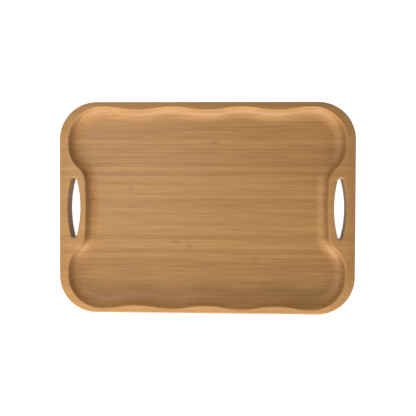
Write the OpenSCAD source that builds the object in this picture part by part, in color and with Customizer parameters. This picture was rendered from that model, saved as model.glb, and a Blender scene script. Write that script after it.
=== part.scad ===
// Bamboo serving tray, cut from one edge-glued panel of upright strips.
// The tray stands on z = 0 with its middle at the origin. Its length and its strips run along x.

/* [Panel] */
// Length of the tray over its two ends
tray_l = 450; // [400:1:540]
// Width of the tray over its two long sides
tray_w = 322; // [290:1:387]
// Thickness of the glued panel
tray_h = 20; // [17:0.5:26]
// Radius of the tray's four corners, seen from above
corner_r = 57; // [45:1:70]
// Width of one bamboo strip
strip_w = 7; // [6.5:0.5:24]

/* [Outside edge] */
// Width of the band around the top that falls towards the outside
rim_band = 13; // [8:0.5:20]
// How far that band falls
rim_fall = 2.5; // [0.5:0.1:4]
// Radius of the upper outside edge
top_round = 3.5; // [1:0.5:5]
// Radius of the lower outside edge
foot_round = 2.5; // [1:0.5:5]

/* [Well] */
// Depth of the well below the top of the panel
well_depth = 14; // [8:0.5:15]
// Radius of the cove between the wall and the floor
cove_r = 18.5; // [10:0.5:24]
// Width of the rim along the long sides, where it is narrowest
side_rim = 8.5; // [6:0.5:16]
// Width of the rim at the ends, beside the corners
end_rim = 15; // [10:0.5:22]
// Radius of the well's corners, seen from above
well_corner_r = 51; // [40:1:60]
// Number of inward waves along each long side
waves = 3; // [1:1:5]
// How far each wave reaches into the well
wave_h = 4.9; // [1:0.1:7]

/* [Grips] */
// Distance from the end of the tray to the well, at the middle of a grip
grip_depth = 41.7; // [36:0.5:52]
// Length of the nearly straight part of a grip
grip_l = 80; // [60:1:110]
// Radius of that nearly straight part
grip_face_r = 600; // [300:10:1200]
// Radius of the turn from the grip into its flank
grip_turn_r = 31; // [20:1:40]
// Radius of the turn from the flank into the end of the well
grip_flank_r = 46; // [30:1:60]

/* [Hand slots] */
// Length of a hand slot
slot_l = 92.4; // [70:0.5:110]
// Width of a hand slot at its middle
slot_w = 18.8; // [12:0.2:24]
// Radius of its two ends
slot_tip_r = 4; // [2:0.5:6]
// Thickness of the bar outside the slot
bar_w = 14; // [9:0.5:20]

/* [Hidden] */
$fn = 96;
past = 1; // how far a cutter runs past the face it opens
edge_step = 9; // longest stretch of the well's edge between two points, and widest turn between them
under = 0.3; // how far the lowest flat of the cove runs on below the floor
cove_steps = 6; // flats between the floor and the top of the cove
slot_steps = 16; // flats along each side of a hand slot

// Strips lie at their own pitch from the middle, and the two outer ones take up what is left.
strip_count = max(4, 2 * round(tray_w / strip_w / 2));
function strip_name(i) = str("strip_", i < 10 ? "0" : "", i);

function joint_y(i) = i <= 0 ? -tray_w / 2 - past
    : i >= strip_count ? tray_w / 2 + past
    : (i - strip_count / 2) * strip_w;

floor_z = tray_h - well_depth;
fall_angle = atan(rim_fall / rim_band);
// Distance from the edge of the well, at the top, to where its floor becomes flat
wall_run = well_depth >= cove_r ? cove_r : sqrt(pow(cove_r, 2) - pow(cove_r - well_depth, 2));
cove_angle = asin(wall_run / cove_r);

// Ends of the well: face of the grip, turn, flank, straight run, corner
grip_x = tray_l / 2 - grip_depth;
end_x = tray_l / 2 - end_rim;
side_y = tray_w / 2 - side_rim;
face_angle = asin(grip_l / 2 / grip_face_r);
turn_x = grip_x + grip_face_r * (1 - cos(face_angle)) + grip_turn_r * cos(face_angle);
turn_y = grip_l / 2 - grip_turn_r * sin(face_angle);
flank_x = end_x - grip_flank_r;
flank_angle = acos((turn_x - flank_x) / (grip_turn_r + grip_flank_r));
flank_y = turn_y + (grip_turn_r + grip_flank_r) * sin(flank_angle);
corner_fit = min(well_corner_r, side_y - flank_y - past); // the corner keeps to the room beside the flank
corner_x = end_x - corner_fit;

// Long sides of the well: equal arcs that bend in and out by turns
wave_l = 2 * corner_x / waves;
wave_r = (pow(wave_l / 4, 2) + pow(wave_h / 2, 2)) / wave_h;
wave_angle = asin(wave_l / 4 / wave_r);

// A stretch of the well's edge is [centre x, centre y, radius, from angle, to angle, side].
// Side 1 has the well inside the circle, and side -1 has it outside.
function crest(m, from, to) = (waves - m) % 2 == 1
    ? [m * wave_l / 2, side_y - wave_h + wave_r, wave_r, 270 + from, 270 + to, -1]
    : [m * wave_l / 2, side_y - wave_r, wave_r, 90 - from, 90 - to, 1];
quarter_arcs = concat(
    [for (m = [0 : waves - 1], half = [0, 1]) half == 0 ? crest(m, 0, wave_angle) : crest(m + 1, -wave_angle, 0)],
    [
        [corner_x, side_y - corner_fit, corner_fit, 90, 0, 1],
        [flank_x, flank_y, grip_flank_r, 0, -flank_angle, 1],
        [turn_x, turn_y, grip_turn_r, 180 - flank_angle, 180 - face_angle, -1],
        [grip_x + grip_face_r, 0, grip_face_r, 180 - face_angle, 180, -1]
    ]
);

// Points of the well's edge, as [x, y, inward x, inward y]. Arcs that meet share a point.
function arc_point(e, a) = [e[0] + e[2] * cos(a), e[1] + e[2] * sin(a), -e[5] * cos(a), -e[5] * sin(a)];
function arc_steps(e) = ceil(max(1, PI * e[2] / 180) * abs(e[4] - e[3]) / edge_step);
function arc_points(e, first) =
    [for (k = [first : arc_steps(e)]) arc_point(e, e[3] + (e[4] - e[3]) * k / arc_steps(e))];
function after_straight(k) = k == 0 || k == 2 * waves + 1;
quarter_edge = [for (k = [0 : len(quarter_arcs) - 1])
    each arc_points(quarter_arcs[k], after_straight(k) ? 0 : 1)];
// From the middle of the far long side, round the +x end, to the middle of the near long side
half_edge = concat(quarter_edge, [for (k = [len(quarter_edge) - 2 : -1 : 0]) mirrored(quarter_edge[k], 1, -1)]);
last = len(half_edge) - 1;

function mirrored(p, sx, sy) = [p[0] * sx, p[1] * sy, p[2] * sx, p[3] * sy];
function low_y(p) = min(p[1], p[1] + p[3] * wall_run);
function high_y(p) = max(p[1], p[1] + p[3] * wall_run);
function crosses(y0, y1, reach) = y0 < reach && y1 > -reach;

// Section of the tray's border, from a line at the left to the outside edge at x = reach
module border_section(reach) {
    round_z = tray_h - rim_fall * (1 - top_round / rim_band) - top_round / cos(fall_angle);
    polygon([
        [0, 0], [reach - foot_round, 0], [reach, foot_round], [reach, round_z],
        [reach - top_round * (1 - sin(fall_angle)), round_z + top_round * cos(fall_angle)],
        [reach - rim_band, tray_h], [0, tray_h]
    ]);
    translate([reach - top_round, round_z]) circle(top_round);
    translate([reach - foot_round, foot_round]) circle(foot_round);
}

// The panel after its outline and its outside edges are cut
module blank() {
    straight_l = tray_l - 2 * corner_r;
    straight_w = tray_w - 2 * corner_r;
    translate([-straight_l / 2, -straight_w / 2, 0]) cube([straight_l, straight_w, tray_h]);
    for (side = [0, 1]) {
        mirror([side, 0, 0]) translate([straight_l / 2, straight_w / 2, 0]) rotate([90, 0, 0])
            linear_extrude(straight_w) border_section(corner_r);
        mirror([0, side, 0]) translate([-straight_l / 2, straight_w / 2, 0]) rotate([90, 0, 90])
            linear_extrude(straight_l) border_section(corner_r);
        for (end = [0, 1])
            mirror([side, 0, 0]) mirror([0, end, 0]) translate([straight_l / 2, straight_w / 2, 0])
                rotate_extrude(angle = 90) border_section(corner_r);
    }
}

// What the well takes from the strip between y0 and y1: a floor with a cove all round its stretch of
// the edge, closed off beyond both sides of the strip. The lowest flat of the cove runs on below the
// floor, so that the floor's plane cuts it cleanly.
module well(y0, y1) {
    from = max(0, min([for (k = [0 : last]) if (low_y(half_edge[k]) < y1) k]) - 1);
    to = min(last, max([for (k = [0 : last]) if (high_y(half_edge[k]) > y0) k]) + 1);
    run = [for (k = [from : to]) half_edge[k]];
    loop = concat(run, [for (k = [len(run) - 1 : -1 : 0]) if (run[k][0] > past) mirrored(run[k], -1, 1)]);
    n = len(loop);
    first_flat = cove_angle / cove_steps / 2;
    levels = concat(
        [[-under / tan(first_flat), -under]],
        [for (j = [1 : cove_steps]) [cove_r * sin(cove_angle * j / cove_steps),
            cove_r * (1 - cos(cove_angle * j / cove_steps))]],
        [[wall_run, well_depth + past]]
    );
    intersection() {
        polyhedron(
            points = [for (level = levels, p = loop) [p[0] + p[2] * (wall_run - level[0]),
                p[1] + p[3] * (wall_run - level[0]), floor_z + level[1]]],
            faces = concat(
                [[for (k = [n - 1 : -1 : 0]) k], [for (k = [0 : n - 1]) n * (len(levels) - 1) + k]],
                [for (j = [0 : len(levels) - 2], k = [0 : n - 1], half = [0, 1]) half == 0
                    ? [j * n + k, j * n + (k + 1) % n, j * n + n + k]
                    : [j * n + (k + 1) % n, j * n + n + (k + 1) % n, j * n + n + k]]
            )
        );
        translate([-tray_l / 2, y0 - past, floor_z]) cube([tray_l, y1 - y0 + 2 * past, well_depth + 2 * past]);
    }
}

// The pointed oval of a hand slot: two long arcs joined by two small ones
function turn(x, y, r, from, to, steps) =
    [for (k = [0 : steps - 1]) let (a = from + (to - from) * k / steps) [x + r * cos(a), y + r * sin(a)]];
module slot_outline() {
    tip_y = slot_l / 2 - slot_tip_r;
    half_w = slot_w / 2;
    long_r = (pow(half_w, 2) + pow(tip_y, 2) - pow(slot_tip_r, 2)) / (2 * (half_w - slot_tip_r));
    meet = asin(tip_y / (long_r - slot_tip_r));
    polygon(concat(
        turn(half_w - long_r, 0, long_r, -meet, meet, slot_steps),
        turn(0, tip_y, slot_tip_r, meet, 180 - meet, slot_steps / 2),
        turn(long_r - half_w, 0, long_r, 180 - meet, 180 + meet, slot_steps),
        turn(0, -tip_y, slot_tip_r, 180 + meet, 360 - meet, slot_steps / 2)
    ));
}

module hand_slots() {
    for (end = [0, 1]) mirror([end, 0, 0])
        translate([tray_l / 2 - bar_w - slot_w / 2, 0, -past])
            linear_extrude(tray_h + 2 * past) slot_outline();
}

// One bamboo strip, the full depth of the tray, glued to its neighbours on both sides. The two halves
// of the tray match, so a strip beyond the middle is its opposite number turned over.
module strip(i) {
    near = min(i, strip_count + 1 - i);
    y0 = joint_y(near - 1);
    y1 = joint_y(near);
    tone = 0.94 + 0.06 * sin(i * 137.5);
    color([0.79, 0.6, 0.39] * tone) mirror([0, i > near ? 1 : 0, 0]) difference() {
        intersection() {
            blank();
            translate([-tray_l / 2 - past, y0, -past]) cube([tray_l + 2 * past, y1 - y0, tray_h + 2 * past]);
        }
        if (crosses(y0, y1, side_y)) well(y0, y1);
        if (crosses(y0, y1, slot_l / 2)) hand_slots();
    }
}

for (i = [1 : strip_count]) strip(i);
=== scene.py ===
from math import acos, asin, atan, ceil, cos, degrees, pi, radians, sin, sqrt

import bpy
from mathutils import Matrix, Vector


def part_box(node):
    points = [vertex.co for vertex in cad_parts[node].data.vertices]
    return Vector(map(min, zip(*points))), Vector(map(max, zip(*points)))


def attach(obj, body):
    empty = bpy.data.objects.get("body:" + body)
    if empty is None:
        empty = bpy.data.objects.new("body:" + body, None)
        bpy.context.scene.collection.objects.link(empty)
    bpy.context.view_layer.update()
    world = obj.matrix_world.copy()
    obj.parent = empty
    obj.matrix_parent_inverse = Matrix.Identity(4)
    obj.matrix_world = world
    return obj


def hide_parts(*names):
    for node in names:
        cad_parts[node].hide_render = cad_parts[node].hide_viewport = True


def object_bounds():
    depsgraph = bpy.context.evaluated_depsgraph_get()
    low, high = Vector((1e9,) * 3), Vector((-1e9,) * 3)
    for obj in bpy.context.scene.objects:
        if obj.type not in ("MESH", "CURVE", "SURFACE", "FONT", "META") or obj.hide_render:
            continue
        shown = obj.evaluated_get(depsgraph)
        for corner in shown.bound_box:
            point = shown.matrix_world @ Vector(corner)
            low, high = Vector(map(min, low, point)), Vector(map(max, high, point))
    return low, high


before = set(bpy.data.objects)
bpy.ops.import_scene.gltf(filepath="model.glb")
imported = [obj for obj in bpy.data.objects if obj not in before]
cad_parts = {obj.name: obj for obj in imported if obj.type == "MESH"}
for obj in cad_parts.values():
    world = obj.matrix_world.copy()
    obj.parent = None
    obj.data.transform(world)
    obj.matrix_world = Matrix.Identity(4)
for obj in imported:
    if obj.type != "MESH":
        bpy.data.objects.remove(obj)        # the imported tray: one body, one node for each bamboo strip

scene = bpy.context.scene
cadLow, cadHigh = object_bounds()
traySize = cadHigh - cadLow


def addNode(tree, kind, feeds=None, **settings):
    # feeds pairs an input, by name or number, with a value or with the output that drives it
    node = tree.nodes.new(kind)
    node.location = (len(tree.nodes) % 12 * 190, -(len(tree.nodes) // 12) * 260)
    for name, value in settings.items():
        setattr(node, name, value)
    for place, value in (feeds or {}).items():
        socket = node.inputs[place]
        if isinstance(value, bpy.types.NodeSocket):
            tree.links.new(value, socket)
        else:
            socket.default_value = value
    return node


def mathNode(tree, operation, *values):
    return addNode(tree, "ShaderNodeMath", dict(enumerate(values)), operation=operation).outputs[0]


def vectorNode(tree, operation, *values):
    places = (0, "Scale") if operation == "SCALE" else (0, 1, 2)
    node = addNode(tree, "ShaderNodeVectorMath", dict(zip(places, values)), operation=operation)
    return node.outputs["Value" if operation == "LENGTH" else "Vector"]


def splitXYZ(tree, vector):
    return addNode(tree, "ShaderNodeSeparateXYZ", {0: vector}).outputs


def joinXYZ(tree, x, y, z):
    return addNode(tree, "ShaderNodeCombineXYZ", {0: x, 1: y, 2: z}).outputs[0]


def newTree(name, kind, inputs, outputs):
    tree = bpy.data.node_groups.new(name, kind)
    for title, socketType, value in inputs:
        socket = tree.interface.new_socket(title, in_out="INPUT", socket_type="NodeSocket" + socketType)
        if value is not None:
            socket.default_value = value
    for title, socketType in outputs:
        tree.interface.new_socket(title, in_out="OUTPUT", socket_type="NodeSocket" + socketType)
    given = addNode(tree, "NodeGroupInput").outputs
    result = addNode(tree, "NodeGroupOutput").inputs
    return tree, given, result


def addModifier(thing, tree, values):
    modifier = thing.modifiers.new(tree.name, "NODES")
    modifier.node_group = tree
    for item in tree.interface.items_tree:
        if item.item_type == "SOCKET" and item.in_out == "INPUT" and item.name in values:
            modifier[item.identifier] = values[item.name]
    return modifier


def newObject(name, data):
    thing = bpy.data.objects.new(name, data)
    scene.collection.objects.link(thing)
    return thing


def toPlainMesh(thing):
    # the modifiers' result becomes the object's own mesh
    bpy.context.view_layer.update()
    evaluated = thing.evaluated_get(bpy.context.evaluated_depsgraph_get())
    mesh = bpy.data.meshes.new_from_object(evaluated)
    mesh.name = thing.name
    thing.modifiers.clear()
    thing.data = mesh
    return thing


cameraPlace = {
    "position": (0.050, 0.010, 0.700),
    "lookAt": (0.0317, 0.0005),        # where the camera's axis meets the top of the tray
    "viewWidth": 0.6270,        # how much of the tray's plane the picture takes in, in metres
    "shift": (-0.046, 0.0),
    "roll": 0.26,        # degrees
    "sensorWidth": 36,        # millimetres
    "clip": (0.01, 100),
}


def makeCamera(place):
    data = bpy.data.cameras.new("camera")
    camera = newObject("camera", data)
    position = Vector(place["position"])
    ahead = Vector((*place["lookAt"], traySize.z)) - position
    camera.location = position
    camera.rotation_euler = (-ahead.y / ahead.z, ahead.x / ahead.z, radians(place["roll"]))
    data.sensor_width = place["sensorWidth"]
    data.lens = data.sensor_width * ahead.length / place["viewWidth"]
    data.shift_x, data.shift_y = place["shift"]
    data.clip_start, data.clip_end = place["clip"]
    scene.camera = camera


studio = {
    "skyLevel": 0.23,        # plain light from all round
    "floorSize": 12.0,
    "floorShade": 0.80,
    "floorGlow": 0.90,        # what the camera sees on top of the light that falls on the floor
    "floorGap": 0.0001,        # how far the floor lies under the tray
}
lamps = {
    # name: position, size along and across, power
    "frontLamp": {"position": (-0.10, -1.20, 0.35), "size": (1.50, 0.40), "power": 21.5},
    "highLamp": {"position": (-0.30, 0.12, 0.60), "size": (0.50, 0.50), "power": 1.85},
}


def seenRays(tree):
    # 1 for a ray from the camera, a reflection or something clear, and 0 for the light that falls on things
    rays = addNode(tree, "ShaderNodeLightPath").outputs
    seen = mathNode(tree, "MAXIMUM", rays["Is Camera Ray"], rays["Is Glossy Ray"])
    return mathNode(tree, "MAXIMUM", seen, rays["Is Transmission Ray"])


def makeWorld(values):
    world = bpy.data.worlds.new("studio")
    world.use_nodes = True
    scene.world = world
    tree = world.node_tree
    tree.nodes.clear()
    level = addNode(tree, "ShaderNodeMapRange", {
        "Value": seenRays(tree), "To Min": values["skyLevel"], "To Max": 1.0})
    light = addNode(tree, "ShaderNodeBackground", {"Color": (1, 1, 1, 1), "Strength": level.outputs[0]})
    addNode(tree, "ShaderNodeOutputWorld", {"Surface": light.outputs[0]})


def makeLamp(name, values):
    data = bpy.data.lights.new(name, "AREA")
    data.shape = "RECTANGLE"
    data.size, data.size_y = values["size"]
    data.energy = values["power"]
    lamp = newObject(name, data)
    lamp.location = values["position"]
    lamp.rotation_euler = (-lamp.location).to_track_quat("-Z", "Y").to_euler()


def makeFloor(values):
    half = values["floorSize"] / 2
    mesh = bpy.data.meshes.new("floor")
    corners = [(-half, -half, 0), (half, -half, 0), (half, half, 0), (-half, half, 0)]
    mesh.from_pydata(corners, [], [(0, 1, 2, 3)])
    floor = newObject("floor", mesh)
    floor.location.z = cadLow.z - values["floorGap"]
    material = bpy.data.materials.new("floor")
    material.use_nodes = True
    tree = material.node_tree
    tree.nodes.clear()
    shade = (values["floorShade"],) * 3 + (1,)
    paint = addNode(tree, "ShaderNodeBsdfDiffuse", {"Color": shade})
    glow = addNode(tree, "ShaderNodeEmission", {"Color": (1, 1, 1, 1), "Strength": values["floorGlow"]})
    both = addNode(tree, "ShaderNodeAddShader", {0: paint.outputs[0], 1: glow.outputs[0]})
    choice = addNode(tree, "ShaderNodeMixShader", {
        0: seenRays(tree), 1: paint.outputs[0], 2: both.outputs[0]})
    addNode(tree, "ShaderNodeOutputMaterial", {"Surface": choice.outputs[0]})
    mesh.materials.append(material)


makeCamera(cameraPlace)
makeWorld(studio)
for name, values in lamps.items():
    makeLamp(name, values)
makeFloor(studio)
print("camera, lamps and floor are in place")


# the outlines of the tray, its well and its hand slots, in metres
trayShape = {
    "cornerRadius": 0.057,
    "rimBand": 0.013,        # width of the band that falls towards the outside
    "rimFall": 0.0025,
    "rimBlend": 0.0005,        # how softly the band meets the level part of the rim
    "topRound": 0.0035,
    "underRings": (0.0, 0.3, 0.6, 0.85, 0.97),        # rings of the underside, as shares of the outline
    "footRound": 0.0025,
    "columns": 720,
}
wellShape = {
    "depth": 0.014,
    "coveRadius": 0.0185,
    "coveStart": 2.4,        # how far down the wall the cove takes over, in edge rounds
    "floorRings": (0.97, 0.9, 0.75, 0.5, 0.25, 0.0),
    "edgeRound": 0.0012,
    "sideRim": 0.0085,        # the rim's width along the long sides, where it is narrowest
    "endRim": 0.015,
    "cornerRadius": 0.051,
    "leastSide": 0.001,        # the least straight stretch between a grip's flank and the corner
    "waves": 3,
    "waveHeight": 0.0049,
    "gripDepth": 0.0417,        # from the end of the tray to the well, at the middle of a grip
    "gripLength": 0.080,
    "gripFaceRadius": 0.600,
    "gripTurnRadius": 0.031,
    "gripFlankRadius": 0.046,
}
slotShape = {
    "length": 0.0924,
    "width": 0.0188,
    "tipRadius": 0.004,
    "barWidth": 0.014,
    "edgeRound": 0.0018,
    "overrun": 0.001,        # how far the cutter runs on past both faces
    "roundEnd": 82,        # degrees, where the round meets the face
    "flare": 1.05,        # how wide the cutter is past the faces, in edge rounds
    "columns": 200,
}
outlineStep = 0.0008        # between points on a round stretch, and four times this on a straight one


def arcPoints(centreX, centreY, radius, start, end):
    # angles in degrees, and the first point is left out, because the stretch before it ends there
    count = max(3, ceil(abs(radians(end - start)) * radius / outlineStep))
    angles = [radians(start + (end - start) * k / count) for k in range(1, count + 1)]
    return [(centreX + radius * cos(a), centreY + radius * sin(a)) for a in angles]


def linePoints(x0, y0, x1, y1):
    count = max(1, ceil(Vector((x1 - x0, y1 - y0)).length / (4 * outlineStep)))
    return [(x0 + (x1 - x0) * k / count, y0 + (y1 - y0) * k / count) for k in range(1, count + 1)]


def trayQuarter(shape):
    halfX, halfY, radius = traySize.x / 2, traySize.y / 2, shape["cornerRadius"]
    return ([(0, halfY)] + linePoints(0, halfY, halfX - radius, halfY)
            + arcPoints(halfX - radius, halfY - radius, radius, 90, 0)
            + linePoints(halfX, halfY - radius, halfX, 0))


def wellQuarter(shape):
    endX = traySize.x / 2 - shape["endRim"]
    sideY = traySize.y / 2 - shape["sideRim"]
    gripX = traySize.x / 2 - shape["gripDepth"]
    face, turn, flank = (shape[key] for key in ("gripFaceRadius", "gripTurnRadius", "gripFlankRadius"))
    faceAngle = asin(shape["gripLength"] / 2 / face)
    turnX = gripX + face * (1 - cos(faceAngle)) + turn * cos(faceAngle)
    turnY = shape["gripLength"] / 2 - turn * sin(faceAngle)
    flankX = endX - flank
    flankAngle = acos((turnX - flankX) / (turn + flank))
    flankY = turnY + (turn + flank) * sin(flankAngle)
    corner = min(shape["cornerRadius"], sideY - flankY - shape["leastSide"])
    cornerX, cornerY = endX - corner, sideY - corner
    waveLength = 2 * cornerX / shape["waves"]
    waveRadius = ((waveLength / 4) ** 2 + (shape["waveHeight"] / 2) ** 2) / shape["waveHeight"]
    waveAngle = degrees(asin(waveLength / 4 / waveRadius))

    def crest(number, start, end):
        middle = number * waveLength / 2
        if (shape["waves"] - number) % 2:        # bends into the well
            centreY = sideY - shape["waveHeight"] + waveRadius
            return arcPoints(middle, centreY, waveRadius, 270 + start, 270 + end)
        return arcPoints(middle, sideY - waveRadius, waveRadius, 90 - start, 90 - end)

    points = [(0, sideY - shape["waveHeight"] * (shape["waves"] % 2))]
    for number in range(shape["waves"]):
        points += crest(number, 0, waveAngle) + crest(number + 1, -waveAngle, 0)
    points += arcPoints(cornerX, cornerY, corner, 90, 0)
    points += linePoints(endX, cornerY, endX, flankY)
    points += arcPoints(flankX, flankY, flank, 0, -degrees(flankAngle))
    points += arcPoints(turnX, turnY, turn, 180 - degrees(flankAngle), 180 - degrees(faceAngle))
    points += arcPoints(gripX + face, 0, face, 180 - degrees(faceAngle), 180)
    return points


def slotQuarter(shape):
    halfWidth, tip = shape["width"] / 2, shape["tipRadius"]
    tipY = shape["length"] / 2 - tip
    sideRadius = (halfWidth ** 2 + tipY ** 2 - tip ** 2) / (2 * (halfWidth - tip))
    meet = degrees(asin(tipY / (sideRadius - tip)))
    return ([(0, tipY + tip)] + arcPoints(0, tipY, tip, 90, meet)
            + arcPoints(halfWidth - sideRadius, 0, sideRadius, meet, 0))


def drawOutline(name, quarter):
    # a closed guide curve, clockwise from above, that starts on the +y axis
    back = quarter[::-1]
    points = quarter + [(x, -y) for x, y in back[1:]] + [(-x, -y) for x, y in quarter[1:]]
    points += [(-x, y) for x, y in back[1:-1]]
    curve = bpy.data.curves.new(name, "CURVE")
    curve.dimensions = "3D"
    spline = curve.splines.new("POLY")
    spline.points.add(len(points) - 1)
    for point, (x, y) in zip(spline.points, points):
        point.co = (x, y, 0, 1)
    spline.use_cyclic_u = True
    return newObject(name, curve)


trayOutline = drawOutline("trayOutline", trayQuarter(trayShape))
wellOutline = drawOutline("wellOutline", wellQuarter(wellShape))
slotOutline = drawOutline("slotOutline", slotQuarter(slotShape))
print("outlines are drawn")


# a section runs from the middle of the underside to the middle of the top
sectionFields = ("share", "fromOutside", "fromWell", "height", "scale", "falls", "edge")


def sectionRow(share=0.0, fromOutside=0.0, fromWell=0.0, height=0.0, scale=1.0, falls=0.0, edge=0.0):
    # share goes from the outside outline at 0 to the well's at 1, and falls is 1 where the rim's fall counts
    return (share, fromOutside, fromWell, height, scale, falls, edge)


def steps(count, start=0.0, end=1.0):
    return [start + (end - start) * k / count for k in range(count + 1)]


def traySection(tray, well):
    fallAngle = atan(tray["rimFall"] / tray["rimBand"])
    top, foot, edge, cove = tray["topRound"], tray["footRound"], well["edgeRound"], well["coveRadius"]
    height = traySize.z
    floorZ = height - well["depth"]
    roundZ = height - tray["rimFall"] * (1 - top / tray["rimBand"]) - top / cos(fallAngle)
    rimStart = top * (1 - sin(fallAngle))
    rows = [sectionRow(fromOutside=foot, scale=s) for s in tray["underRings"]]
    for a in steps(6, 0, pi / 2):
        rows.append(sectionRow(fromOutside=foot * (1 - sin(a)), height=foot * (1 - cos(a)), edge=sin(2 * a)))
    for a in steps(7, 0, pi / 2 - fallAngle):
        rows.append(sectionRow(fromOutside=top * (1 - cos(a)), height=roundZ + top * sin(a),
                               edge=sin(2 * a)))
    for share in steps(12)[1:-1]:
        rows.append(sectionRow(share, rimStart, -edge, height, falls=1))
    for a in steps(5, 0, pi / 2):
        rows.append(sectionRow(1, rimStart, edge * (sin(a) - 1), height - edge * (1 - cos(a)), falls=1,
                               edge=sin(2 * a)))
    wallRun = sqrt(cove ** 2 - (cove - well["depth"]) ** 2)
    for a in steps(22, acos(1 - (well["depth"] - well["coveStart"] * edge) / cove), 0):
        rows.append(sectionRow(1, rimStart, wallRun - cove * sin(a), floorZ + cove * (1 - cos(a))))
    for scale in well["floorRings"]:
        rows.append(sectionRow(1, rimStart, wallRun, floorZ, scale))
    return rows


def slotSection(slot):
    # a cutter that widens to a round at both faces, and runs on past them
    edge, over, height = slot["edgeRound"], slot["overrun"], traySize.z
    flare, roundEnd = -edge * slot["flare"], radians(slot["roundEnd"])
    rows = [sectionRow(height=-over, scale=0), sectionRow(fromOutside=flare, height=-over)]
    for a in steps(6, roundEnd, 0):
        rows.append(sectionRow(fromOutside=-edge * (1 - cos(a)), height=edge * (1 - sin(a))))
    for a in steps(6, 0, roundEnd):
        rows.append(sectionRow(fromOutside=-edge * (1 - cos(a)), height=height - edge * (1 - sin(a))))
    rows += [sectionRow(fromOutside=flare, height=height + over), sectionRow(height=height + over, scale=0)]
    return rows


def drawSection(name, rows):
    mesh = bpy.data.meshes.new(name)
    mesh.from_pydata([(0, 0, 0)] * len(rows), [], [])
    for place, field in enumerate(sectionFields):
        attribute = mesh.attributes.new(field, "FLOAT", "POINT")
        attribute.data.foreach_set("value", [row[place] for row in rows])
    return newObject(name, mesh)


def guideGeometry(tree, guide):
    return addNode(tree, "GeometryNodeObjectInfo", {"Object": guide}).outputs["Geometry"]


def sampleOutline(tree, guide, factor, inward):
    # a point on a guide curve, moved inwards along the curve's normal
    sample = addNode(tree, "GeometryNodeSampleCurve", {
        "Curves": guideGeometry(tree, guide), "Factor": factor})
    tangent = splitXYZ(tree, sample.outputs["Tangent"])
    normal = joinXYZ(tree, tangent[1], mathNode(tree, "MULTIPLY", tangent[0], -1), 0)
    return vectorNode(tree, "ADD", sample.outputs["Position"], vectorNode(tree, "SCALE", normal, inward))


def rimFallAt(tree, point, given):
    # how far the rim has fallen at a point: straight over the band, then level
    flat = joinXYZ(tree, *splitXYZ(tree, point)[:2], 0)
    radius = given["Corner Radius"]
    core = vectorNode(tree, "SUBTRACT", given["Half Size"], joinXYZ(tree, radius, radius, 0))
    over = vectorNode(tree, "SUBTRACT", vectorNode(tree, "ABSOLUTE", flat), core)
    x, y, _ = splitXYZ(tree, over)
    pastX, pastY = (mathNode(tree, "MAXIMUM", value, 0) for value in (x, y))
    beyond = vectorNode(tree, "LENGTH", joinXYZ(tree, pastX, pastY, 0))
    within = mathNode(tree, "MINIMUM", mathNode(tree, "MAXIMUM", x, y), 0)
    inside = mathNode(tree, "SUBTRACT", radius, mathNode(tree, "ADD", beyond, within))
    left = mathNode(tree, "SUBTRACT", 1, mathNode(tree, "DIVIDE", inside, given["Rim Band"]))
    fallen = mathNode(tree, "MULTIPLY", left, given["Rim Fall"])
    return mathNode(tree, "SMOOTH_MAX", fallen, 0, given["Rim Blend"])


def finishTree(tree, geometry, material, result):
    whole = addNode(tree, "GeometryNodeRealizeInstances", {"Geometry": geometry}).outputs[0]
    dressed = addNode(tree, "GeometryNodeSetMaterial", {"Geometry": whole, "Material": material})
    tree.links.new(dressed.outputs[0], result["Geometry"])


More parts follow.
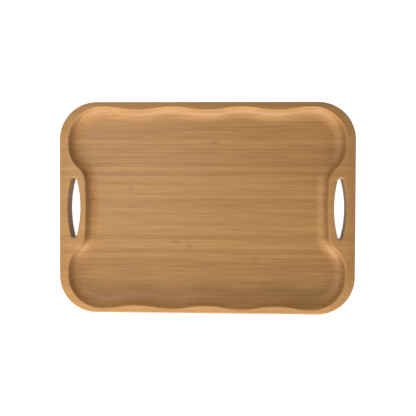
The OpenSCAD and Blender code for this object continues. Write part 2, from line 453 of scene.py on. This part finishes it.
# Geometry Nodes: a shell whose section goes round two outlines
def makeShellTree():
    tree, given, result = newTree("shellRoundOutlines", "GeometryNodeTree", [
        ("Outside", "Object", None), ("Well", "Object", None), ("Section", "Object", None),
        ("Columns", "Int", 400), ("Half Size", "Vector", None), ("Corner Radius", "Float", 0.05),
        ("Rim Band", "Float", 0.01), ("Rim Fall", "Float", 0.0), ("Rim Blend", "Float", 0.0005),
        ("Move", "Vector", None), ("Weld", "Float", 0.00001), ("Material", "Material", None),
    ], [("Geometry", "Geometry")])
    section = guideGeometry(tree, given["Section"])
    size = addNode(tree, "GeometryNodeAttributeDomainSize", {"Geometry": section}, component="MESH")
    rows = size.outputs["Point Count"]
    columns = mathNode(tree, "ADD", given["Columns"], 1)
    grid = addNode(tree, "GeometryNodeMeshGrid", {"Vertices X": columns, "Vertices Y": rows}).outputs["Mesh"]
    index = addNode(tree, "GeometryNodeInputIndex").outputs[0]
    column = mathNode(tree, "FLOOR", mathNode(tree, "DIVIDE", mathNode(tree, "ADD", index, 0.5), rows))
    row = mathNode(tree, "SUBTRACT", index, mathNode(tree, "MULTIPLY", column, rows))
    factor = mathNode(tree, "DIVIDE", column, given["Columns"])

    def field(name):
        named = addNode(tree, "GeometryNodeInputNamedAttribute", {"Name": name}, data_type="FLOAT")
        return addNode(tree, "GeometryNodeSampleIndex", {
            "Geometry": section, "Value": named.outputs["Attribute"], "Index": row}).outputs[0]

    outer = sampleOutline(tree, given["Outside"], factor, field("fromOutside"))
    inner = sampleOutline(tree, given["Well"], factor, field("fromWell"))
    mix = addNode(tree, "ShaderNodeMix", {0: field("share"), 4: outer, 5: inner}, data_type="VECTOR")
    flat = vectorNode(tree, "SCALE", mix.outputs[1], field("scale"))
    fall = mathNode(tree, "MULTIPLY", rimFallAt(tree, flat, given), field("falls"))
    height = mathNode(tree, "SUBTRACT", field("height"), fall)
    placed = vectorNode(tree, "ADD", joinXYZ(tree, *splitXYZ(tree, flat)[:2], height), given["Move"])
    shell = addNode(tree, "GeometryNodeStoreNamedAttribute", {
        "Geometry": grid, "Name": "edge", "Value": field("edge")}, data_type="FLOAT", domain="POINT")
    shell = addNode(tree, "GeometryNodeSetPosition", {"Geometry": shell.outputs[0], "Position": placed})
    shell = addNode(tree, "GeometryNodeMergeByDistance", {
        "Geometry": shell.outputs[0], "Distance": given["Weld"]})
    shell = addNode(tree, "GeometryNodeFlipFaces", {"Mesh": shell.outputs[0]})
    finishTree(tree, shell.outputs[0], given["Material"], result)
    return tree


# Geometry Nodes: the hand slots, cut by one cutter and its half turn
def makeSlotTree():
    tree, given, result = newTree("cutHandSlots", "GeometryNodeTree", [
        ("Geometry", "Geometry", None), ("Cutter", "Object", None), ("Material", "Material", None),
    ], [("Geometry", "Geometry")])
    cutter = guideGeometry(tree, given["Cutter"])
    turned = addNode(tree, "GeometryNodeTransform", {"Geometry": cutter, "Rotation": (0, 0, pi)})
    cut = given["Geometry"]
    for end in (cutter, turned.outputs[0]):
        cut = addNode(tree, "GeometryNodeMeshBoolean", {"Mesh 1": cut, "Mesh 2": end},
                      operation="DIFFERENCE", solver="MANIFOLD").outputs["Mesh"]
    finishTree(tree, cut, given["Material"], result)
    return tree


# Geometry Nodes: one strip, which is what lies between two glue joints
def makeStripTree():
    tree, given, result = newTree("cutStrip", "GeometryNodeTree", [
        ("Panel", "Object", None), ("From", "Float", 0.0), ("To", "Float", 0.01),
        ("Slab Size", "Vector", None),
        ("Sharp Angle", "Float", radians(32)), ("Material", "Material", None),
    ], [("Geometry", "Geometry")])
    width = mathNode(tree, "SUBTRACT", given["To"], given["From"])
    middle = mathNode(tree, "MULTIPLY", mathNode(tree, "ADD", given["To"], given["From"]), 0.5)
    x, _, z = splitXYZ(tree, given["Slab Size"])
    slab = addNode(tree, "GeometryNodeMeshCube", {"Size": joinXYZ(tree, x, width, z)})
    slab = addNode(tree, "GeometryNodeTransform", {
        "Geometry": slab.outputs["Mesh"], "Translation": joinXYZ(tree, 0, middle, 0)}).outputs[0]
    panel = guideGeometry(tree, given["Panel"])
    cut = addNode(tree, "GeometryNodeMeshBoolean", {"Mesh 2": panel},
                  operation="INTERSECT", solver="MANIFOLD")
    tree.links.new(slab, cut.inputs["Mesh 2"])
    angle = addNode(tree, "GeometryNodeInputMeshEdgeAngle").outputs["Unsigned Angle"]
    soft = mathNode(tree, "LESS_THAN", angle, given["Sharp Angle"])
    smooth = addNode(tree, "GeometryNodeSetShadeSmooth", {"Geometry": cut.outputs["Mesh"]}, domain="FACE")
    smooth = addNode(tree, "GeometryNodeSetShadeSmooth", {
        "Geometry": smooth.outputs[0], "Shade Smooth": soft}, domain="EDGE")
    finishTree(tree, smooth.outputs[0], given["Material"], result)
    return tree


bamboo = {
    "stripWidth": 0.007,
    "seed": 11.0,
    "plainTone": 0.135,        # the darkest strip, between caramel at 0 and pale at 1
    "stripSpread": 0.49,        # how much paler a strip may be, by chance
    "pale": (0.590, 0.302, 0.092, 1),
    "caramel": (0.375, 0.170, 0.043, 1),
    "fibre": (0.235, 0.100, 0.030, 1),
    "knuckle": (0.250, 0.110, 0.036, 1),
    "glue": (0.150, 0.070, 0.028, 1),
    "endGrain": (0.120, 0.060, 0.026, 1),
    "roughness": (0.46, 0.60),
    "rimStart": 0.0150,        # above this height the top of the rim is painted paler, a painted highlight for the light that falls on the rim
    "rimEnd": 0.0185,
    "rimPaintedHighlight": 0.32,
    "coatWeight": 0.15,
    "coatRoughness": 0.40,
    "ior": 1.48,
    "streakShare": 0.36,        # how much the long streaks turn the tone paler
    "cloudShare": 0.19,        # how far the soft patches turn it either way
    "rodShare": 0.26,        # from here on, how much of each colour is laid over the tone
    "fineShare": 0.10,
    "patchShare": 0.22,
    "lineShare": 0.32,
    "glueShare": 0.20,
    "glueWidth": (0.00004, 0.00022),        # metres from the joint, full and gone
    "endShare": 0.55,
    "endRodShare": 0.45,
    "endRoughness": 0.12,        # added on end grain
    "edgeShare": (0.15, 0.50),
    "knuckledStrips": (0.84, 0.97),        # only strips whose third number is this high have knuckles
    "bumpStrength": 0.25,
    "bumpDistance": 0.00008,
    "rodRelief": -0.6,
}
grainSizes = {
    # changes in a metre along and across the grain, then detail and roughness
    "streaks": (5.5, 620, 3.0, 0.6),
    "clouds": (13, 210, 3.0, 0.6),
    "fine": (30, 2600, 2.0, 0.55),
    "rods": (22, 1250),
    "depthShare": 0.6,        # changes through the thickness, against those across
    "stripJump": 3.7,        # metres between one strip's piece of the pattern and another's, at most
    "rodWidth": (0.12, 0.26),        # at the crowded edge of a strip, and how much more at the other
    "rodFade": (0.55, 1.25),
}
knuckleShape = {
    "wobble": 0.012,        # metres
    "wobbleSizes": (60, 420),
    "lineWidth": (0.0010, 0.0075),        # metres, full and gone
    "patchAway": 0.012,
    "patchWidth": (0.001, 0.014),
}


def mixColour(tree, factor, first, second):
    return addNode(tree, "ShaderNodeMix", {0: factor, 6: first, 7: second}, data_type="RGBA").outputs[2]


def fadeNode(tree, value, low, high, start=0.0, end=1.0):
    node = addNode(tree, "ShaderNodeMapRange", {
        "Value": value, "From Min": low, "From Max": high, "To Min": start, "To Max": end},
        interpolation_type="SMOOTHSTEP")
    return node.outputs[0]


# which strip a point is in, how far across it, and three random numbers for the strip
def makeStripGroup():
    tree, given, result = newTree("stripNumbers", "ShaderNodeTree", [
        ("Vector", "Vector", None), ("Strip Width", "Float", 0.007), ("Seed", "Float", 1.0),
    ], [(name, "Float") for name in ("Across", "Joint", "First", "Second", "Third")])
    y = splitXYZ(tree, given["Vector"])[1]
    strips = mathNode(tree, "DIVIDE", y, given["Strip Width"])
    number = mathNode(tree, "FLOOR", strips)
    across = mathNode(tree, "SUBTRACT", strips, number)
    noise = addNode(tree, "ShaderNodeTexWhiteNoise", {
        "W": mathNode(tree, "ADD", number, given["Seed"])}, noise_dimensions="1D")
    split = addNode(tree, "ShaderNodeSeparateColor", {0: noise.outputs["Color"]}).outputs
    nearest = mathNode(tree, "MINIMUM", across, mathNode(tree, "SUBTRACT", 1, across))
    toJoint = mathNode(tree, "MULTIPLY", nearest, given["Strip Width"])
    tree.links.new(across, result["Across"])
    tree.links.new(toJoint, result["Joint"])
    for place, name in enumerate(("First", "Second", "Third")):
        tree.links.new(split[place], result[name])
    return tree


# fibres that run the whole way through the tray along x: streaks on top, dots on the ends
def makeFibreGroup(sizes):
    tree, given, result = newTree("bambooFibres", "ShaderNodeTree", [
        ("Vector", "Vector", None), ("Shift", "Float", 0.0),
        ("Across", "Float", 0.5), ("Flip", "Float", 0.0),
    ], [("Streaks", "Float"), ("Clouds", "Float"), ("Rods", "Float"), ("Fine", "Float")])
    x, y, z = splitXYZ(tree, given["Vector"])
    along = mathNode(tree, "ADD", x, mathNode(tree, "MULTIPLY", given["Shift"], sizes["stripJump"]))

    def grain(lengthScale, widthScale):
        return joinXYZ(tree, mathNode(tree, "MULTIPLY", along, lengthScale),
                       mathNode(tree, "MULTIPLY", y, widthScale),
                       mathNode(tree, "MULTIPLY", z, widthScale * sizes["depthShare"]))

    for title in ("Streaks", "Clouds", "Fine"):
        lengthScale, widthScale, detail, roughness = sizes[title.lower()]
        noise = addNode(tree, "ShaderNodeTexNoise", {
            "Vector": grain(lengthScale, widthScale), "Scale": 1.0, "Detail": detail, "Roughness": roughness})
        tree.links.new(noise.outputs["Fac"], result[title])
    cells = addNode(tree, "ShaderNodeTexVoronoi", {
        "Vector": grain(*sizes["rods"]), "Scale": 1.0, "Randomness": 1.0})
    # the fibres crowd towards what was the outside of the culm, at one edge of each strip
    crowded = mathNode(tree, "GREATER_THAN", given["Flip"], 0.5)
    side = mathNode(tree, "ABSOLUTE", mathNode(tree, "SUBTRACT", given["Across"], crowded))
    narrow, more = sizes["rodWidth"]
    width = mathNode(tree, "ADD", narrow, mathNode(tree, "MULTIPLY", side, more))
    inRods = mathNode(tree, "DIVIDE", cells.outputs["Distance"], width)
    tree.links.new(fadeNode(tree, inRods, *sizes["rodFade"], 1.0, 0.0), result["Rods"])
    return tree


# the knuckles of the culm: a dark line across a strip with a paler patch beside it, now and then
def makeKnuckleGroup(shape):
    tree, given, result = newTree("bambooKnuckles", "ShaderNodeTree", [
        ("Vector", "Vector", None), ("Shift", "Float", 0.0),
        ("Strength", "Float", 1.0), ("Spacing", "Float", 0.36),
    ], [("Line", "Float"), ("Patch", "Float")])
    x, y, _ = splitXYZ(tree, given["Vector"])
    wobbleX, wobbleY = shape["wobbleSizes"]
    spot = joinXYZ(tree, mathNode(tree, "MULTIPLY", x, wobbleX), mathNode(tree, "MULTIPLY", y, wobbleY),
                   given["Shift"])
    wobble = addNode(tree, "ShaderNodeTexNoise", {"Vector": spot, "Scale": 1.0, "Detail": 2.0}).outputs["Fac"]
    moved = mathNode(tree, "MULTIPLY", mathNode(tree, "SUBTRACT", wobble, 0.5), shape["wobble"])
    bent = mathNode(tree, "ADD", x, moved)
    turns = mathNode(tree, "ADD", mathNode(tree, "DIVIDE", bent, given["Spacing"]), given["Shift"])
    cell = mathNode(tree, "FRACT", turns)
    offset = mathNode(tree, "MULTIPLY", mathNode(tree, "SUBTRACT", cell, 0.5), given["Spacing"])
    fromPatch = mathNode(tree, "SUBTRACT", offset, shape["patchAway"])
    for title, away, width in (("Line", offset, "lineWidth"), ("Patch", fromPatch, "patchWidth")):
        value = fadeNode(tree, mathNode(tree, "ABSOLUTE", away), *shape[width], 1.0, 0.0)
        tree.links.new(mathNode(tree, "MULTIPLY", value, given["Strength"]), result[title])
    return tree


def placeGroup(tree, group, feeds):
    return addNode(tree, "ShaderNodeGroup", feeds, node_tree=group).outputs


def makeBamboo(values, sizes, knuckleSizes):
    material = bpy.data.materials.new("lacqueredBamboo")
    material.use_nodes = True
    tree = material.node_tree
    tree.nodes.clear()

    def share(value, name):
        return mathNode(tree, "MULTIPLY", value, values[name])

    place = addNode(tree, "ShaderNodeTexCoord").outputs
    spot = place["Object"]
    strip = placeGroup(tree, makeStripGroup(), {
        "Vector": spot, "Strip Width": values["stripWidth"], "Seed": values["seed"]})
    fibres = placeGroup(tree, makeFibreGroup(sizes), {
        "Vector": spot, "Shift": strip["Second"], "Across": strip["Across"], "Flip": strip["Third"]})
    knuckles = placeGroup(tree, makeKnuckleGroup(knuckleSizes), {
        "Vector": spot, "Shift": strip["Second"],
        "Strength": fadeNode(tree, strip["Third"], *values["knuckledStrips"])})

    # tone of each strip, then long streaks and soft patches within it
    tone = mathNode(tree, "MULTIPLY_ADD", strip["First"], values["stripSpread"], values["plainTone"])
    tone = mathNode(tree, "ADD", tone, share(fadeNode(tree, fibres["Streaks"], 0.36, 0.66), "streakShare"))
    cloud = values["cloudShare"]
    tone = mathNode(tree, "ADD", tone, fadeNode(tree, fibres["Clouds"], 0.30, 0.70, -cloud, cloud))
    colour = mixColour(tree, tone, values["caramel"], values["pale"])
    colour = mixColour(tree, share(fibres["Rods"], "rodShare"), colour, values["fibre"])
    fine = fadeNode(tree, fibres["Fine"], 0.35, 0.75, 0.0, values["fineShare"])
    colour = mixColour(tree, fine, colour, values["fibre"])
    colour = mixColour(tree, share(knuckles["Patch"], "patchShare"), colour, values["pale"])
    colour = mixColour(tree, share(knuckles["Line"], "lineShare"), colour, values["knuckle"])
    glueLine = fadeNode(tree, strip["Joint"], *values["glueWidth"], values["glueShare"], 0.0)
    colour = mixColour(tree, glueLine, colour, values["glue"])

    # end grain drinks the lacquer and goes darker, and eased edges are sanded paler
    facing = mathNode(tree, "ABSOLUTE", splitXYZ(tree, place["Normal"])[0])
    endGrain = fadeNode(tree, facing, 0.45, 0.95)
    colour = mixColour(tree, share(endGrain, "endShare"), colour, values["endGrain"])
    endRods = mathNode(tree, "MULTIPLY", endGrain, fibres["Rods"])
    colour = mixColour(tree, share(endRods, "endRodShare"), colour, values["glue"])
    height = splitXYZ(tree, spot)[2]
    # painted highlight: the top of the rim is mixed towards pale by height, standing in for the light that
    # falls on it
    rim = fadeNode(tree, height, values["rimStart"], values["rimEnd"], 0.0, values["rimPaintedHighlight"])
    colour = mixColour(tree, rim, colour, values["pale"])
    edge = addNode(tree, "ShaderNodeAttribute", attribute_name="edge").outputs["Fac"]
    rubbing = fadeNode(tree, fibres["Streaks"], 0.35, 0.65, *values["edgeShare"])
    colour = mixColour(tree, mathNode(tree, "MULTIPLY", edge, rubbing), colour, values["pale"])

    rough = fadeNode(tree, fibres["Streaks"], 0.3, 0.7, *values["roughness"])
    rough = mathNode(tree, "ADD", rough, share(endGrain, "endRoughness"))
    relief = mathNode(tree, "ADD", share(fibres["Rods"], "rodRelief"), fibres["Fine"])
    bump = addNode(tree, "ShaderNodeBump", {
        "Strength": values["bumpStrength"], "Distance": values["bumpDistance"], "Height": relief})
    lacquer = addNode(tree, "ShaderNodeBsdfPrincipled", {
        "Base Color": colour, "Roughness": rough, "Normal": bump.outputs[0], "IOR": values["ior"],
        "Coat Weight": values["coatWeight"], "Coat Roughness": values["coatRoughness"]})
    addNode(tree, "ShaderNodeOutputMaterial", {"Surface": lacquer.outputs[0]})
    return material


bambooMaterial = makeBamboo(bamboo, grainSizes, knuckleShape)
print("bamboo is mixed")


stripCut = {
    "past": 0.002,        # how far the outer strips run on past the panel's sides before they are cut
    "longer": 1.1,        # a slab's length and depth against the tray's
    "deeper": 3,
}


def makePanel(tray, well, slot, material):
    shellTree = makeShellTree()
    panel = newObject("panel", bpy.data.meshes.new("panel"))
    addModifier(panel, shellTree, {
        "Outside": trayOutline, "Well": wellOutline,
        "Section": drawSection("traySection", traySection(tray, well)), "Columns": tray["columns"],
        "Half Size": (traySize.x / 2, traySize.y / 2, 0), "Corner Radius": tray["cornerRadius"],
        "Rim Band": tray["rimBand"], "Rim Fall": tray["rimFall"], "Rim Blend": tray["rimBlend"],
        "Material": material})
    cutter = newObject("slotCutter", bpy.data.meshes.new("slotCutter"))
    addModifier(cutter, shellTree, {
        "Outside": slotOutline, "Well": slotOutline,
        "Section": drawSection("slotSection", slotSection(slot)), "Columns": slot["columns"],
        "Move": (traySize.x / 2 - slot["barWidth"] - slot["width"] / 2, 0, 0),
        "Material": material})
    toPlainMesh(cutter)
    addModifier(panel, makeSlotTree(), {"Cutter": cutter, "Material": material})
    return toPlainMesh(panel)


def makeStrips(panel, cut, material):
    stripTree = makeStripTree()
    past = cut["past"]
    slabSize = (traySize.x * cut["longer"], 1, traySize.z * cut["deeper"])
    for node in sorted(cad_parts):
        low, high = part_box(node)
        start = low.y - (past if low.y < cadLow.y + past else 0)
        end = high.y + (past if high.y > cadHigh.y - past else 0)
        piece = newObject("bamboo_" + node, bpy.data.meshes.new(node))
        addModifier(piece, stripTree, {
            "Panel": panel, "From": start, "To": end, "Slab Size": slabSize, "Material": material})
        toPlainMesh(piece)
        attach(piece, "root")
        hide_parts(node)


panel = makePanel(trayShape, wellShape, slotShape, bambooMaterial)
print("panel has", len(panel.data.polygons), "faces")
makeStrips(panel, stripCut, bambooMaterial)
for guide in ("panel", "slotCutter", "trayOutline", "wellOutline", "slotOutline",
              "traySection", "slotSection"):
    bpy.data.objects.remove(bpy.data.objects[guide])
print("strips are cut")

scene.view_settings.view_transform = "Standard"
